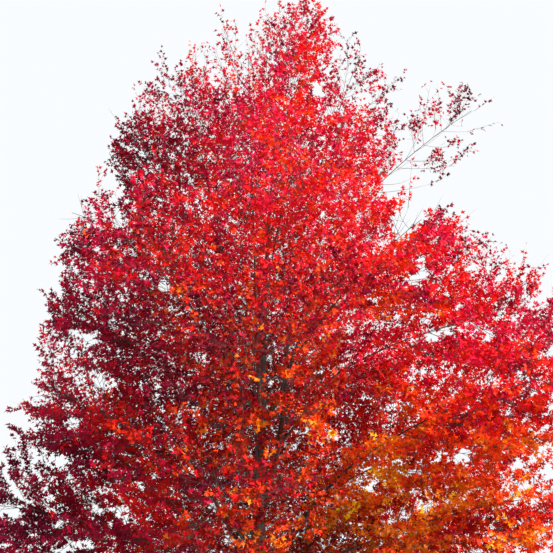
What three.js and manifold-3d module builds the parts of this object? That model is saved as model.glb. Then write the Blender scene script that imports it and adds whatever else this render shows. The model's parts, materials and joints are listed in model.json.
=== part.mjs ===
// A freeman maple in autumn leaf: its trunk, leaders, boughs and masses of foliage.
// Millimetres, +Z up. The origin is the middle of the flat cut under the trunk.
// Azimuths are degrees from +X, anticlockwise seen from above.
import * as THREE from 'three';
import { mergeVertices } from 'three/addons/utils/BufferGeometryUtils.js';
import Module from 'manifold-3d';

const wasm = await Module();
wasm.setup();

const UP = new THREE.Vector3(0, 0, 1);
const EAST = new THREE.Vector3(1, 0, 0);

// Clearances
const GAP = 0.3;              // end to end, between a limb and what it carries
const CUT = 0.5;              // round a parent, where its child is cut to fit it
const LIMB_CLEARANCE = 18;    // twig to limb
const WALL_MARGIN = 20;       // leaf to the wall between two masses
const WELD = 0.001;           // vertices nearer than this are one
const HALVINGS = 30;          // enough to find a height on a curve exactly

// Trunk
const FORK_HEIGHT = 4600;
const FORK_OFFSET = [60, 25];
const TRUNK_SWAY = -45;       // how far the middle of the trunk leans the other way
const BREAST_HEIGHT = 1300;
const BREAST_RADIUS = 190;
const FORK_RADIUS = 108;
const FLARE = 125;            // added to the radius at the ground
const FLARE_FADE = 330;       // height over which the root flare dies away
const ROOT_LOBES = 5;
const ROOT_LOBE_DEPTH = 0.42;
const TRUNK_SIDES = 18;
const TRUNK_STEPS = 9;
const TRUNK_STEP_EASE = 1.6;  // rings lie closer together near the ground

// Boughs
const BOUGH_STEPS = 5;
const BOUGH_SIDES = 5;
const LEADER_SIDES = 7;
const TAPER_POWER = 0.8;
const COLLAR = 0.35;          // the swelling where a limb leaves its parent
const COLLAR_FADE = 0.06;
const THICKEST_SHARE = 0.6;   // of the parent's radius, before the collar
const REACH_OF_HANDLES = 0.35;
const BOUGH_SWAY = 0.04;
const ARRIVAL_TURN = 0.6;     // how far a bough has turned into its stem's line at its neck
const ROOT_STRIDE = 0.618;    // spaces the roots of a tier evenly up its range

// Tiers of side boughs, from the lowest up: how many, where they leave, their neck
// where the foliage starts, their end, their thickness and the space their mass fills
const TIERS = [
  {
    name: 'skirt', count: 5, first: 48, root: [1950, 2550], neck: [1750, 3200], end: [5450, 4000],
    base: 50, tip: 19, rise: 58, pull: 0.06, breadth: 2150, depth: 1500, spray: 1120,
  },
  {
    name: 'lower', count: 6, first: 30, root: [2750, 3300], neck: [1850, 4750], end: [5450, 5900],
    base: 56, tip: 21, rise: 48, pull: 0.2, breadth: 2150, depth: 1550, spray: 1120,
  },
  {
    name: 'middle', count: 6, first: 0, root: [5200, 6100], neck: [1500, 6750], end: [5100, 8000],
    base: 44, tip: 18, rise: 45, pull: 0.17, breadth: 2050, depth: 1500, spray: 1120,
  },
  {
    name: 'upper', count: 5, first: -8, root: [6700, 7500], neck: [1200, 8150], end: [4300, 9350],
    base: 38, tip: 16, rise: 38, pull: 0.02, breadth: 1950, depth: 1400, spray: 1060,
  },
];

// Leaders: the steep limbs that the trunk forks into, and two high limbs that they carry
const LEADERS = [
  { name: 'left', azimuth: 172, root: 4050, neck: [850, 9700], end: [1850, 13600] },
  { name: 'right', azimuth: 3, root: 3800, neck: [850, 9500], end: [2250, 14100] },
  { name: 'back', azimuth: 82, root: 4300, neck: [1000, 9300], end: [2400, 13400] },
  { name: 'front', azimuth: 265, root: 3600, neck: [950, 8800], end: [2400, 12700] },
];
const LEADER_SHAPE = { base: 72, tip: 19, rise: 21, breadth: 1450, depth: 1400, spray: 820 };
const CENTRE_LEADER = {
  name: 'centre', azimuth: 5, neck: [280, 11200], end: [750, 15400],
  base: 106, tip: 18, rise: 0, breadth: 1350, depth: 1350, spray: 760,
};
const HIGH_LIMBS = [
  {
    name: 'high_left', parent: 'left', azimuth: 190, root: 8200, neck: [1500, 9800],
    end: [2950, 12000], breadth: 1150,
  },
  {
    name: 'high_right', parent: 'right', azimuth: 0, root: 7900, neck: [1750, 9900],
    end: [4800, 12700], breadth: 900,
  },
];
const HIGH_SHAPE = { base: 31, tip: 13, rise: 36, depth: 1050, spray: 700 };

// Foliage
const MASS_CENTRE = 0.55;     // along the stem, for the walls between masses
const SPACE_STRETCH = 1.06;
const STEM_SIDES = 4;
const STEM_STEPS = 4;
const STEM_SHARE = 0.95;      // of its bough's tip radius
const STEM_TIP_RADIUS = 9;
const TWIG_SIDES = 3;
const TWIG_NODES = 4;
const FIRST_NODE = 0.14;
const NODE_STEP = 0.21;
const NODE_TURN = THREE.MathUtils.degToRad(137.5);
const TURN_JITTER = 0.4;
const TWIG_ANGLE = THREE.MathUtils.degToRad(52);
const TWIG_LIFT = 0.25;
const TWIG_RADIUS = 14;
const TWIG_TIP_RADIUS = 9;
const TWIG_SHARE = 0.5;       // of the stem's radius at most
const TWIG_REACHES = [0.96, 0.78, 0.6];
const SHORTEST_TWIG = 150;
const LEAF_WIDTH = 0.72;
const LEAF_THICKNESS = 0.03;
const LEAF_SHOULDER = 0.42;
const LEAF_CUP = 0.05;
const LEAF_CLEARANCE = 0.05;  // of a leaf's length, to a limb
const LEAF_APART = 0.03;      // of a leaf's length, to another leaf
const LEAF_SPREAD = THREE.MathUtils.degToRad(58);
const LEAF_ROLL = THREE.MathUtils.degToRad(60);
const TIP_LEAF_OVERLAP = 0.36; // how much of a tip leaf lies over its twig
const PAIR_SINK = 0.25;       // of the twig's radius, past its axis
const PAIR_PLACES = [0.66, 0.3];
const PAIR_OFFSET = 0.04;     // one leaf of a pair sits a little further along
const PAIR_SIZE = 0.92;

// Colours
const BARK = { color: 0x5b4f49, roughness: 0.9, metalness: 0 };
const TINTS = { burgundy: 0x6e1420, crimson: 0x9c1626, scarlet: 0xc42a22, orange: 0xcf5a24 };
const BURGUNDY_WEST = -1500;  // the left of the crown is darkest
const ORANGE_EAST = 1200;     // and the lower right turns orange
const ORANGE_TOP = 6800;
const SCARLET_FOOT = 8000;

function dice(a, b, c) {
  const wave = Math.sin(a * 12.9898 + b * 78.233 + c * 37.719) * 43758.5453;
  return wave - Math.floor(wave);
}

function spread(a, b, c) {
  return 2 * dice(a, b, c) - 1;
}

function heading(azimuth) {
  const angle = THREE.MathUtils.degToRad(azimuth);
  return new THREE.Vector3(Math.cos(angle), Math.sin(angle), 0);
}

function polar(azimuth, reach, height) {
  return heading(azimuth).multiplyScalar(reach).setZ(height);
}

function sideOf(azimuth) {
  return heading(azimuth + 90);
}

// Solids
function solidOf(geometry) {
  geometry.deleteAttribute('normal');
  geometry.deleteAttribute('uv');
  const merged = mergeVertices(geometry, WELD);
  return new wasm.Manifold(new wasm.Mesh({
    numProp: 3,
    vertProperties: merged.getAttribute('position').array,
    triVerts: Uint32Array.from(merged.index.array),
  }));
}

// The main body of a solid: a scrap that a cut leaves, or the skin of a sealed hollow, comes off
function mainBody(solid) {
  return solid.decompose().reduce((best, body) => (body.volume() > best.volume() ? body : best));
}

function meshOf(name, solid, look) {
  const { vertProperties, triVerts } = solid.getMesh();
  const geometry = new THREE.BufferGeometry();
  geometry.setAttribute('position', new THREE.BufferAttribute(vertProperties, 3));
  geometry.setIndex(new THREE.BufferAttribute(triVerts, 1));
  geometry.computeVertexNormals();
  const mesh = new THREE.Mesh(geometry, new THREE.MeshStandardMaterial(look));
  mesh.name = name;
  return mesh;
}

// A closed tube bent along a curve. Its rings square up to the curve, or to a fixed axis.
function tube({ curve, side, sides, steps, radiusAt, axis = null, ease = 1, grow = 0 }) {
  const geometry = new THREE.CylinderGeometry(1, 1, 1, sides, steps);
  const place = geometry.getAttribute('position');
  for (let i = 0; i < place.count; i += 1) {
    const t = (place.getY(i) + 0.5) ** ease;
    const along = axis ?? curve.getTangent(t);
    const centre = curve.getPoint(t).addScaledVector(along, grow * Math.trunc(2 * t - 1));
    const across = side.clone().addScaledVector(along, -side.dot(along)).normalize();
    const other = across.clone().cross(along);
    const angle = Math.atan2(place.getZ(i), place.getX(i));
    const radius = Math.hypot(place.getX(i), place.getZ(i)) * (radiusAt(t, angle) + grow);
    centre.addScaledVector(across, radius * Math.cos(angle));
    centre.addScaledVector(other, radius * Math.sin(angle));
    place.setXYZ(i, centre.x, centre.y, centre.z);
  }
  return solidOf(geometry);
}

// A flat kite, a little cupped, that stands for one spray of leaves
function leafSolid({ root, along, normal, length }) {
  const geometry = new THREE.OctahedronGeometry(1);
  const place = geometry.getAttribute('position');
  const across = along.clone().cross(normal);
  for (let i = 0; i < place.count; i += 1) {
    const [x, y, z] = [place.getX(i), place.getY(i), place.getZ(i)];
    const forward = y === 0 ? LEAF_SHOULDER : Math.max(y, 0);
    const lift = z * LEAF_THICKNESS / 2 - Math.abs(x) * LEAF_CUP;
    const point = root.clone().addScaledVector(along, forward * length);
    point.addScaledVector(across, x * LEAF_WIDTH / 2 * length);
    point.addScaledVector(normal, lift * length);
    place.setXYZ(i, point.x, point.y, point.z);
  }
  return solidOf(geometry);
}

// Trunk
const trunkCurve = new THREE.CubicBezierCurve3(
  new THREE.Vector3(0, 0, 0),
  new THREE.Vector3(0, 0, FORK_HEIGHT / 3),
  new THREE.Vector3(TRUNK_SWAY, 0, FORK_HEIGHT * 2 / 3),
  new THREE.Vector3(...FORK_OFFSET, FORK_HEIGHT),
);

function trunkRadius(t, angle) {
  const height = t * FORK_HEIGHT;
  const slope = (BREAST_RADIUS - FORK_RADIUS) / (FORK_HEIGHT - BREAST_HEIGHT);
  const stem = FORK_RADIUS + slope * (FORK_HEIGHT - height);
  const lobe = 1 + ROOT_LOBE_DEPTH * Math.cos(ROOT_LOBES * angle);
  return stem + FLARE * Math.exp(-height / FLARE_FADE) * lobe;
}

function trunkSolid(grow = 0) {
  return tube({
    curve: trunkCurve, side: EAST, sides: TRUNK_SIDES, steps: TRUNK_STEPS,
    radiusAt: trunkRadius, axis: UP, ease: TRUNK_STEP_EASE, grow,
  });
}

// Limb plans: one for each leader, high limb and side bough
function endsOf({ azimuth, neck, end, pull = 0 }) {
  const scale = 1 + pull * heading(azimuth).x;
  return {
    neckPoint: polar(azimuth, neck[0] * scale, neck[1]),
    endPoint: polar(azimuth, end[0] * scale, end[1]),
  };
}

function placeOfHeight(curve, height) {
  let [low, high] = [0, 1];
  for (let i = 0; i < HALVINGS; i += 1) {
    const middle = (low + high) / 2;
    if (curve.getPoint(middle).z < height) low = middle;
    else high = middle;
  }
  return low;
}

function limbCurve(plan, rootPoint) {
  const { neckPoint, endPoint, number, rise } = plan;
  const way = neckPoint.clone().sub(rootPoint);
  const handle = way.length() * REACH_OF_HANDLES;
  const outward = way.clone().setZ(0).normalize();
  const angle = THREE.MathUtils.degToRad(rise);
  const leave = outward.multiplyScalar(Math.sin(angle)).addScaledVector(UP, Math.cos(angle));
  const onward = endPoint.clone().sub(neckPoint).normalize();
  const sway = sideOf(plan.azimuth).multiplyScalar(BOUGH_SWAY * way.length());
  const arrive = way.normalize().lerp(onward, ARRIVAL_TURN).normalize();
  const first = rootPoint.clone().addScaledVector(leave, handle);
  const second = neckPoint.clone().addScaledVector(arrive, -handle);
  if (rise > 0) first.addScaledVector(sway, spread(number, 1, 0));
  second.addScaledVector(sway, spread(number, 2, 0));
  return new THREE.CubicBezierCurve3(rootPoint, first, second, neckPoint);
}

function limbRadius({ base, tip, rise }) {
  const collar = rise > 0 ? COLLAR : 0;
  return (t) => {
    const taper = base + (tip - base) * t ** TAPER_POWER;
    return taper * (1 + collar * Math.exp(-t / COLLAR_FADE));
  };
}

function makeLimb(plan, parent) {
  const limb = { ...plan, ...endsOf(plan), parent };
  limb.sides = plan.kind === 'leader' ? LEADER_SIDES : BOUGH_SIDES;
  const rootPoint = trunkCurve.getPoint(1).addScaledVector(UP, GAP);
  if (parent) {
    const place = placeOfHeight(parent.curve, plan.root);
    rootPoint.copy(parent.curve.getPoint(place));
    limb.base = Math.min(plan.base, THICKEST_SHARE * parent.radiusAt(place, 0));
  }
  limb.curve = limbCurve(limb, rootPoint);
  limb.radiusAt = limbRadius(limb);
  return limb;
}

function limbSolid(limb, grow = 0) {
  return tube({
    curve: limb.curve, side: sideOf(limb.azimuth), sides: limb.sides, steps: BOUGH_STEPS,
    radiusAt: limb.radiusAt, grow,
  });
}

function nearestLeader(leaders, azimuth, height) {
  const outward = heading(azimuth);
  const score = ({ curve }) => curve.getPoint(placeOfHeight(curve, height)).dot(outward);
  return leaders.reduce((best, leader) => (score(leader) > score(best) ? leader : best));
}

function planLimbs() {
  const trunk = { name: 'trunk', curve: trunkCurve, radiusAt: trunkRadius };
  let number = 1;
  const centre = makeLimb({ ...CENTRE_LEADER, kind: 'leader', number }, null);
  const leaders = [centre];
  for (const leader of LEADERS) {
    number += 1;
    leaders.push(makeLimb({ ...LEADER_SHAPE, ...leader, kind: 'leader', number }, trunk));
  }
  const limbs = [...leaders];
  for (const high of HIGH_LIMBS) {
    number += 1;
    const parent = leaders.find((leader) => leader.name === high.parent);
    limbs.push(makeLimb({ ...HIGH_SHAPE, ...high, kind: 'bough', number }, parent));
  }
  for (const tier of TIERS) {
    for (let i = 0; i < tier.count; i += 1) {
      number += 1;
      const azimuth = tier.first + i * 360 / tier.count;
      const root = THREE.MathUtils.lerp(...tier.root, (i * ROOT_STRIDE) % 1);
      const parent = root < FORK_HEIGHT ? trunk : nearestLeader(leaders, azimuth, root);
      const name = `${tier.name}_${i + 1}`;
      limbs.push(makeLimb({ ...tier, kind: 'bough', name, azimuth, root, number }, parent));
    }
  }
  return limbs;
}

// Spaces: each mass keeps inside an ellipsoid and this side of a wall to every other mass
function giveSpace(limb) {
  const { neckPoint, endPoint, breadth, depth, azimuth } = limb;
  const way = endPoint.clone().sub(neckPoint);
  const along = way.clone().normalize();
  const across = sideOf(azimuth);
  limb.space = {
    centre: neckPoint.clone().addScaledVector(way, 0.5),
    axes: [along, across, along.clone().cross(across).normalize()],
    sizes: [way.length() / 2 * SPACE_STRETCH, breadth, depth],
  };
  limb.heart = neckPoint.clone().addScaledVector(way, MASS_CENTRE);
  const arrive = limb.curve.getTangent(1);
  const start = neckPoint.clone().addScaledVector(arrive, GAP);
  const bend = start.clone().addScaledVector(arrive, way.length() / 2);
  const stop = endPoint.clone().addScaledVector(along, -limb.spray * (1 - TIP_LEAF_OVERLAP));
  limb.stem = new THREE.QuadraticBezierCurve3(start, bend, stop);
  limb.stemRadius = (t) => THREE.MathUtils.lerp(limb.tip * STEM_SHARE, STEM_TIP_RADIUS, t);
}

function giveWalls(limbs) {
  for (const limb of limbs) {
    limb.walls = limbs.filter((other) => other !== limb).map((other) => {
      const normal = other.heart.clone().sub(limb.heart);
      const middle = limb.heart.clone().addScaledVector(normal, 0.5);
      normal.normalize();
      return { point: middle.addScaledVector(normal, -WALL_MARGIN), normal };
    });
  }
}

function depthIn(space, point) {
  const from = point.clone().sub(space.centre);
  return Math.hypot(...space.axes.map((axis, i) => from.dot(axis) / space.sizes[i]));
}

function isInside(limb, point) {
  if (depthIn(limb.space, point) > 1) return false;
  return limb.walls.every(({ point: wall, normal }) => point.clone().sub(wall).dot(normal) < 0);
}

// How far a straight twig can go from a point before it leaves the space
function wayOut(limb, point, direction) {
  const { centre, axes, sizes } = limb.space;
  const from = point.clone().sub(centre);
  const start = axes.map((axis, i) => from.dot(axis) / sizes[i]);
  const step = axes.map((axis, i) => direction.dot(axis) / sizes[i]);
  const dot = (a, b) => a.reduce((sum, value, i) => sum + value * b[i], 0);
  const [a, b, c] = [dot(step, step), dot(start, step), dot(start, start) - 1];
  let out = (-b + Math.sqrt(Math.max(b * b - a * c, 0))) / a;
  for (const { point: wall, normal } of limb.walls) {
    const speed = direction.dot(normal);
    const gap = wall.clone().sub(point).dot(normal);
    if (speed > 0) out = Math.min(out, gap / speed);
  }
  return out;
}

// Rods are straight stretches of a limb, stem, twig or leaf edge, to keep clear of
function rodsAlong(curve, steps, radiusAt) {
  return Array.from({ length: steps }, (_, i) => {
    const line = new THREE.Line3(curve.getPoint(i / steps), curve.getPoint((i + 1) / steps));
    return { line, radius: radiusAt(i / steps) };
  });
}

function isClear(rods, lines, clearance) {
  return rods.every(({ line, radius }) => {
    const least = (radius + clearance) ** 2;
    return lines.every((other) => line.distanceSqToLine3(other) > least);
  });
}

function giveRods(limbs) {
  const trunkRods = rodsAlong(trunkCurve, TRUNK_STEPS, (t) => trunkRadius(t, 0));
  for (const limb of limbs) {
    limb.rods = rodsAlong(limb.curve, BOUGH_STEPS, limb.radiusAt);
    limb.stemRods = rodsAlong(limb.stem, STEM_STEPS, limb.stemRadius);
  }
  const limbRods = [...trunkRods, ...limbs.flatMap((limb) => limb.rods)];
  for (const limb of limbs) {
    const otherStems = limbs.filter((other) => other !== limb).flatMap((other) => other.stemRods);
    limb.otherRods = [...limbRods, ...otherStems];
  }
}

// Foliage
function leafLines({ root, along, normal, length }) {
  const across = along.clone().cross(normal).multiplyScalar(LEAF_WIDTH / 2 * length);
  const shoulder = root.clone().addScaledVector(along, LEAF_SHOULDER * length);
  const tip = root.clone().addScaledVector(along, length);
  const corners = [root, shoulder.clone().add(across), tip, shoulder.clone().sub(across)];
  const edges = corners.map((corner, i) => new THREE.Line3(corner, corners[(i + 1) % 4]));
  return [...edges, new THREE.Line3(root, tip), new THREE.Line3(corners[1], corners[3])];
}

function leafRods(leaves) {
  return leaves.flatMap(leafLines).map((line) => ({ line, radius: 0 }));
}

function twigRod({ start, stop, thick }) {
  return { line: new THREE.Line3(start, stop), radius: thick };
}

// A leaf is kept where it stays in its space, off every limb and clear of the leaves before it
function leafFits(mass, leaf, ownTwig) {
  const { limb, twigs, leaves } = mass;
  const lines = leafLines(leaf);
  const corners = lines.slice(1, 4).map((line) => line.start);
  if (!corners.every((corner) => isInside(limb, corner))) return false;
  const otherTwigs = twigs.filter((twig) => twig !== ownTwig).map(twigRod);
  const wood = [...limb.otherRods, ...(ownTwig ? limb.stemRods : []), ...otherTwigs];
  if (!isClear(wood, lines, LEAF_CLEARANCE * leaf.length)) return false;
  return isClear(leafRods(leaves), lines, LEAF_APART * leaf.length);
}

function faceOf(point, direction, roll) {
  const face = point.clone().setZ(0).normalize().add(UP);
  face.addScaledVector(direction, -face.dot(direction)).normalize();
  return face.applyAxisAngle(direction, roll);
}

function tipLeaf(limb, { stop, direction, normal }) {
  const root = stop.clone().addScaledVector(direction, -TIP_LEAF_OVERLAP * limb.spray);
  return { root, along: direction, normal, length: limb.spray };
}

function pairedLeaf(limb, { start, stop, direction, normal, thick }, place, hand) {
  const along = direction.clone().applyAxisAngle(normal, hand * LEAF_SPREAD);
  const foot = start.clone().lerp(stop, place + hand * PAIR_OFFSET);
  const root = foot.addScaledVector(along, -PAIR_SINK * thick);
  return { root, along, normal, length: limb.spray * PAIR_SIZE };
}

// A twig leaves the stem at one of its nodes and stops short of the edge of the space
function twigAt(limb, node, hand, reach) {
  const place = FIRST_NODE + NODE_STEP * node;
  const seed = node * 2 + hand;
  const start = limb.stem.getPoint(place);
  const along = limb.stem.getTangent(place);
  const side = sideOf(limb.azimuth);
  side.addScaledVector(along, -side.dot(along)).normalize();
  const turn = node * NODE_TURN + hand * Math.PI + TURN_JITTER * spread(limb.number, seed, 5);
  const around = side.applyAxisAngle(along, turn).multiplyScalar(Math.tan(TWIG_ANGLE));
  const direction = around.add(along).normalize().addScaledVector(UP, TWIG_LIFT).normalize();
  const length = wayOut(limb, start, direction) * reach - limb.spray * (1 - TIP_LEAF_OVERLAP);
  const stop = start.clone().addScaledVector(direction, length);
  const normal = faceOf(start, direction, LEAF_ROLL * spread(limb.number, seed, 6));
  const thick = Math.min(TWIG_RADIUS, TWIG_SHARE * limb.stemRadius(place));
  return { start, stop, direction, normal, thick, length };
}

function addTwig(mass, node, hand, reach) {
  const { limb, twigs, leaves } = mass;
  const twig = twigAt(limb, node, hand, reach);
  if (twig.length < SHORTEST_TWIG || !isInside(limb, twig.start)) return false;
  const { line } = twigRod(twig);
  if (!isClear(limb.otherRods, [line], TWIG_RADIUS + LIMB_CLEARANCE)) return false;
  if (!isClear(leafRods(leaves), [line], TWIG_RADIUS)) return false;
  const leaf = tipLeaf(limb, twig);
  if (!leafFits(mass, leaf, twig)) return false;
  twigs.push(twig);
  leaves.push(leaf);
  return true;
}

function addPairs(mass, place) {
  for (const twig of mass.twigs) {
    for (const hand of [-1, 1]) {
      const leaf = pairedLeaf(mass.limb, twig, place, hand);
      if (leafFits(mass, leaf, twig)) mass.leaves.push(leaf);
    }
  }
}

// A mass grows its stem's tip leaf, then its twigs from the tip down, then their paired leaves
function growMass(limb) {
  const mass = { limb, twigs: [], leaves: [] };
  const direction = limb.stem.getTangent(1);
  const normal = faceOf(limb.endPoint, direction, 0);
  const leaf = tipLeaf(limb, { stop: limb.stem.getPoint(1), direction, normal });
  if (leafFits(mass, leaf, null)) mass.leaves.push(leaf);
  for (let node = TWIG_NODES - 1; node >= 0; node -= 1) {
    for (const hand of [0, 1]) TWIG_REACHES.some((reach) => addTwig(mass, node, hand, reach));
  }
  for (const place of PAIR_PLACES) addPairs(mass, place);
  return mass;
}

function twigSolid({ start, stop, normal, thick }) {
  return tube({
    curve: new THREE.LineCurve3(start, stop), side: normal, sides: TWIG_SIDES, steps: 1,
    radiusAt: (t) => THREE.MathUtils.lerp(thick, Math.min(thick, TWIG_TIP_RADIUS), t),
  });
}

function massSolid(limb) {
  const { twigs, leaves } = growMass(limb);
  const stem = tube({
    curve: limb.stem, side: sideOf(limb.azimuth), sides: STEM_SIDES, steps: STEM_STEPS,
    radiusAt: limb.stemRadius,
  });
  return mainBody(wasm.Manifold.union([stem, ...twigs.map(twigSolid), ...leaves.map(leafSolid)]));
}

function tintOf({ heart }) {
  if (heart.x < BURGUNDY_WEST) return 'burgundy';
  if (heart.x > ORANGE_EAST && heart.z < ORANGE_TOP) return 'orange';
  return heart.z > SCARLET_FOOT ? 'scarlet' : 'crimson';
}

// The tree
const tree = new THREE.Group();
const limbs = planLimbs();
limbs.forEach(giveSpace);
giveWalls(limbs);
giveRods(limbs);
tree.add(meshOf('trunk', trunkSolid(), BARK));

const trunkCut = trunkSolid(CUT);
const centreCut = limbSolid(limbs[0], CUT);
for (const limb of limbs) {
  let solid = limbSolid(limb);
  if (limb.parent?.name === 'trunk') solid = solid.subtract(trunkCut).subtract(centreCut);
  else if (limb.parent) solid = solid.subtract(limbSolid(limb.parent, CUT));
  tree.add(meshOf(`${limb.kind}_${limb.name}`, mainBody(solid), BARK));
}
for (const limb of limbs) {
  const look = { color: TINTS[tintOf(limb)], roughness: 0.6, metalness: 0 };
  tree.add(meshOf(`mass_${limb.name}`, massSolid(limb), look));
}

export default tree;
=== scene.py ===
"""A freeman maple in autumn leaf: bark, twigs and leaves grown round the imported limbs.

Metres, +Z up. The origin is the middle of the flat cut under the trunk. Azimuths are degrees
from +X, anticlockwise seen from above. The limbs and the spaces of the masses follow the same
plan as the part's solids, and the twigs follow the same rule, carried on to finer shoots.
"""
import json
import math
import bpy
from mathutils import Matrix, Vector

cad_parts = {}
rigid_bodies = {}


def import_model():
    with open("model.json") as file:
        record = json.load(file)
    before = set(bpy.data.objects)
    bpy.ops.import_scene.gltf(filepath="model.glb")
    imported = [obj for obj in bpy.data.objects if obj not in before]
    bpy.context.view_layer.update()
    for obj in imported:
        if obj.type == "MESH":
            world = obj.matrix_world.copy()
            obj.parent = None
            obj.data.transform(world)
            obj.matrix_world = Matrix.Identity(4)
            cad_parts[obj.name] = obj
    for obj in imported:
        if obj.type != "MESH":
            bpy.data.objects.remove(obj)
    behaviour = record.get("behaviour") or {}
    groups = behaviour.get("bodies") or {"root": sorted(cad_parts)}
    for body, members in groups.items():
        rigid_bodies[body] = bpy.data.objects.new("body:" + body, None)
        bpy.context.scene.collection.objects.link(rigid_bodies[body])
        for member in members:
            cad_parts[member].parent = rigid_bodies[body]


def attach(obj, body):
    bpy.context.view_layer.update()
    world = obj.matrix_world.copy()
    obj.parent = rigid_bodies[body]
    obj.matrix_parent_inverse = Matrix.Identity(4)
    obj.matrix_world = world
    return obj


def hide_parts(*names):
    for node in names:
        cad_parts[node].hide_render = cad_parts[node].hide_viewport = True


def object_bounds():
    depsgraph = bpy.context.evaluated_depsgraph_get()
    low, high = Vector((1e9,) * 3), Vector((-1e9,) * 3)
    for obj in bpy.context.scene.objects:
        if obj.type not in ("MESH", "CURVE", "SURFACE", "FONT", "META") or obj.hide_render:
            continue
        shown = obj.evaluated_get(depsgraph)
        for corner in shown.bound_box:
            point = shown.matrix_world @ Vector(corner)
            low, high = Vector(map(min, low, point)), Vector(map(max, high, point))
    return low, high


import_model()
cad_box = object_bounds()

from types import SimpleNamespace

import bpy
import numpy as np

UP = np.array([0.0, 0.0, 1.0])
EAST = np.array([1.0, 0.0, 0.0])
TINY = 1e-6
SEED = 11
DICE_WAVES = (12.9898, 78.233, 37.719)
DICE_SCALE = 43758.5453

# The trunk
FORK_HEIGHT = 4.6
FORK_OFFSET = (0.06, 0.025)
TRUNK_SWAY = -0.045
BREAST_HEIGHT = 1.3
BREAST_RADIUS = 0.19
FORK_RADIUS = 0.108
FLARE = 0.125
FLARE_FADE = 0.33
ROOT_LOBES = 5
ROOT_LOBE_DEPTH = 0.42

# The boughs
TAPER_POWER = 0.8
COLLAR = 0.35
COLLAR_FADE = 0.06
THICKEST_SHARE = 0.6
REACH_OF_HANDLES = 0.35
BOUGH_SWAY = 0.04
ARRIVAL_TURN = 0.6
ROOT_STRIDE = 0.618
HALVINGS = 30
TIERS = {
    "skirt": dict(count=5, first=48, root=(1.95, 2.55), neck=(1.75, 3.2), end=(5.45, 4.0),
                  base=0.050, tip=0.019, rise=58, pull=0.06, breadth=2.15, depth=1.5),
    "lower": dict(count=6, first=30, root=(2.75, 3.3), neck=(1.85, 4.75), end=(5.45, 5.9),
                  base=0.056, tip=0.021, rise=48, pull=0.2, breadth=2.15, depth=1.55),
    "middle": dict(count=6, first=0, root=(5.2, 6.1), neck=(1.5, 6.75), end=(5.1, 8.0),
                   base=0.044, tip=0.018, rise=45, pull=0.17, breadth=2.05, depth=1.5),
    "upper": dict(count=5, first=-8, root=(6.7, 7.5), neck=(1.2, 8.15), end=(4.3, 9.35),
                  base=0.038, tip=0.016, rise=38, pull=0.02, breadth=1.95, depth=1.4),
}
LEADERS = {
    "left": dict(azimuth=172, root=4.05, neck=(0.85, 9.7), end=(1.85, 13.6)),
    "right": dict(azimuth=3, root=3.8, neck=(0.85, 9.5), end=(2.25, 14.1)),
    "back": dict(azimuth=82, root=4.3, neck=(1.0, 9.3), end=(2.4, 13.4)),
    "front": dict(azimuth=265, root=3.6, neck=(0.95, 8.8), end=(2.4, 12.7)),
}
LEADER_SHAPE = dict(base=0.072, tip=0.019, rise=21, breadth=1.45, depth=1.4, pull=0)
CENTRE_LEADER = dict(azimuth=5, neck=(0.28, 11.2), end=(0.75, 15.4), base=0.106, tip=0.018,
                     rise=0, breadth=1.35, depth=1.35, pull=0)
HIGH_LIMBS = {
    "high_left": dict(parent="left", azimuth=190, root=8.2, neck=(1.5, 9.8), end=(2.95, 12.0),
                      breadth=1.15),
    "high_right": dict(parent="right", azimuth=0, root=7.9, neck=(1.75, 9.9), end=(4.8, 12.7),
                       breadth=0.9),
}
HIGH_SHAPE = dict(base=0.031, tip=0.013, rise=36, depth=1.05, pull=0)

# The spaces that the masses keep to
MASS_CENTRE = 0.55
SPACE_SPAN = (-0.22, 1.03)  # along the stem, from a little before its neck
WALL_MARGIN = -0.12  # less than nothing, so that the sprays of neighbours mingle
FAR_WALL = 46.0  # so high up that it stops nothing: a mass has no wall to itself
STEM_STOP = 0.25  # before the end of its mass
STEM_SHARE = 0.95  # of its limb's tip, at its foot
STEM_TIP_RADIUS = 0.0045
BEADS = 40  # points along a limb that others are kept clear of
BATCH = 4000  # points measured at a time

# Shoots: branches on the stem, branchlets on them and twigs on those
BRANCH_NODES = 12
FIRST_NODE = 0.14
NODE_STEP = 0.07
NODE_TURN = math.radians(137.5) / 2
TURN_JITTER = 0.4
TURN_DICE = 5
BRANCH_ANGLE = math.radians(52)
BRANCH_LIFT = 0.25
SKIRT_LIFT = -0.05  # of the lowest boughs, whose branches lie more level
BRANCH_SAG = 0.07  # of its length, so that it curves up towards its tip
BRANCH_RADIUS = 0.011
BRANCH_SHARE = 0.5  # of the stem's radius at most
STEM_THINNING = 0.6  # how much thinner the stem is at its end
BRANCH_REACH = (0.66, 1.0)  # of the way to the edge of its space
BRANCH_MARGIN = 0.12
BRANCH_TONE = 0.07  # how far one branch's warmth of colour strays from the next one's
SHORTEST_BRANCH = 0.2
LIMB_CLEARANCE = 0.018
TRIED_STOPS = np.linspace(0.1, 1, 10)  # where along a shoot a limb is looked for
STOP_BEFORE = 0.15  # of its length, before the limb
SHORTEST_CUT = 0.01
SHOOT_TIP_RADIUS = 0.0016
BENT_LENGTH = 0.7  # longer shoots than this are drawn with their bend
EDGE_MARGIN = (-0.22, 0.3)  # how far short of the edge of its space a shoot ends, or beyond it
STEEP_TWIST = 1.2  # steep shoots carry side shoots all round, level ones to the sides
STEEP_POWER = 4
SIDE_PLACE = 0.5  # of the step between two pairs of side shoots
PLACE_JITTER = 0.25
LAST_PLACE = 0.98  # along the parent
ANGLE_JITTER = 12  # degrees
LENGTH_VARIETY = (0.6, 1.15)
SIDE_SHARE = 0.6  # of the parent's radius at most
STUNTED = 0.5  # of the least length: shorter ones are dropped
BRANCHLETS = dict(step=0.16, first=0.16, angle=44, lift=0.14, twist=0.24, share=0.60, least=0.18,
                  longest=0.9, radius=0.0052, sag=0.05, tone=0.05)
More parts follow.
